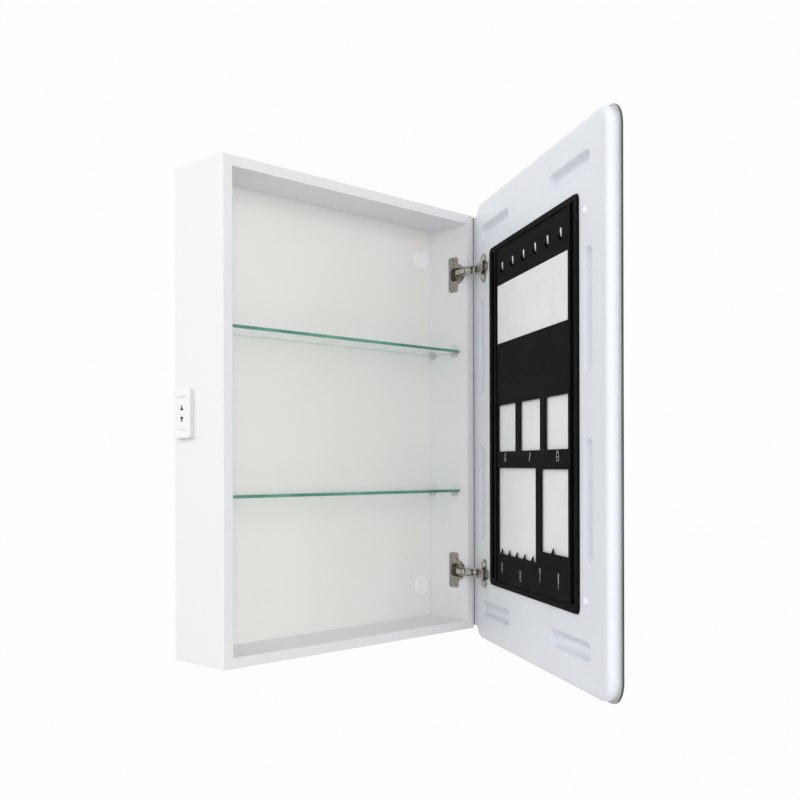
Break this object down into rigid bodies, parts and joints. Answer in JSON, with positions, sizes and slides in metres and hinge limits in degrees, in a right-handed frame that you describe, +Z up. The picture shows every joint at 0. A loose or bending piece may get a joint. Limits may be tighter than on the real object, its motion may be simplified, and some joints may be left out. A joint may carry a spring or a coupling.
{
  "type": "lighted mirror cabinet",
  "caption": "Wall-hung bathroom cabinet with glass shelves, a side socket and a lighted mirror door on concealed hinges, with an organizer tray inside the door.",
  "frame": {"origin": "centre of the four wall screw holes, on the wall plane", "axes": "+X to the right seen from the front, +Y out of the cabinet's back into the wall, +Z up"},
  "size_m": [0.5948, 0.6407, 0.8],
  "materials": {
    "board_white": "satin white melamine board",
    "back_white": "satin warm white board",
    "plain_wood": "bare softwood",
    "cap_white": "satin white plastic",
    "shelf_glass": "clear toughened glass with polished edges",
    "shelf_pin": "polished metal",
    "socket_white": "glossy white plastic",
    "contact_brass": "bare brass",
    "terminal_grey": "matt light grey plastic",
    "grommet_rubber": "black rubber",
    "screw_steel": "zinc-plated steel",
    "hinge_nickel": "nickel-plated steel",
    "mirror": "silvered float glass with polished edge",
    "shell_white": "satin cool white plastic",
    "frame_alu": "plain extruded aluminium",
    "guide_opal": "opal white plastic",
    "led_strip": "white strip with light yellow emitters",
    "driver_white": "matt white plastic",
    "sensor_green": "green circuit board",
    "tray_black": "satin black plastic",
    "backing_white": "satin white plastic",
    "board_grey": "satin light grey writing surface"
  },
  "bodies": {
    "cabinet": {"left_side_board": "board_white", "right_side_board": "board_white", "top_board": "board_white", "bottom_board": "board_white", "back_board": "back_white", "upper_rail": "plain_wood", "lower_rail": "plain_wood", "dowels": "plain_wood", "access_caps": "cap_white", "upper_shelf": "shelf_glass", "lower_shelf": "shelf_glass", "shelf_pins": "shelf_pin", "socket_box": "terminal_grey", "socket_plate": "socket_white", "socket_insert": "socket_white", "socket_contacts": "contact_brass", "terminal_box": "terminal_grey", "terminal_lid": "terminal_grey", "terminal_screws": "screw_steel", "cable_grommet": "grommet_rubber", "upper_hinge_cup": "hinge_nickel", "lower_hinge_cup": "hinge_nickel", "cup_screws": "screw_steel", "cup_pins": "screw_steel"},
    "door": {"mirror_glass": "mirror", "door_shell": "shell_white", "mirror_frame": "frame_alu", "light_guide": "guide_opal", "led_strips": "led_strip", "led_driver": "driver_white", "touch_sensor": "sensor_green", "organizer_tray": "tray_black", "tray_backing": "backing_white", "memo_board": "board_grey", "shell_caps": "cap_white", "shell_screws": "screw_steel", "upper_hinge_arm": "hinge_nickel", "lower_hinge_arm": "hinge_nickel", "upper_wing_plate": "hinge_nickel", "lower_wing_plate": "hinge_nickel", "hinge_blocks": "frame_alu", "wing_screws": "screw_steel", "arm_screws": "screw_steel"},
    "upper_link": {"upper_hinge_link": "hinge_nickel", "upper_link_pin": "screw_steel"},
    "lower_link": {"lower_hinge_link": "hinge_nickel", "lower_link_pin": "screw_steel"}
  },
  "joints": [
    {"name": "door_hinge", "type": "hinge", "parent": "cabinet", "child": "door", "pos_m": [0.284, -0.127, 0], "axis": [0, 0, 1], "range_deg": [-57, 43]},
    {"name": "upper_link_pivot", "type": "hinge", "parent": "cabinet", "child": "upper_link", "pos_m": [0.2735, -0.105, 0.274], "axis": [0, 0, 1], "range_deg": [-28.5, 21.5]},
    {"name": "lower_link_pivot", "type": "hinge", "parent": "cabinet", "child": "lower_link", "pos_m": [0.2735, -0.105, -0.274], "axis": [0, 0, 1], "range_deg": [-28.5, 21.5]}
  ],
  "couplings": [
    {"joint": "upper_link_pivot", "follows": "door_hinge", "ratio": 0.5},
    {"joint": "lower_link_pivot", "follows": "door_hinge", "ratio": 0.5}
  ]
}
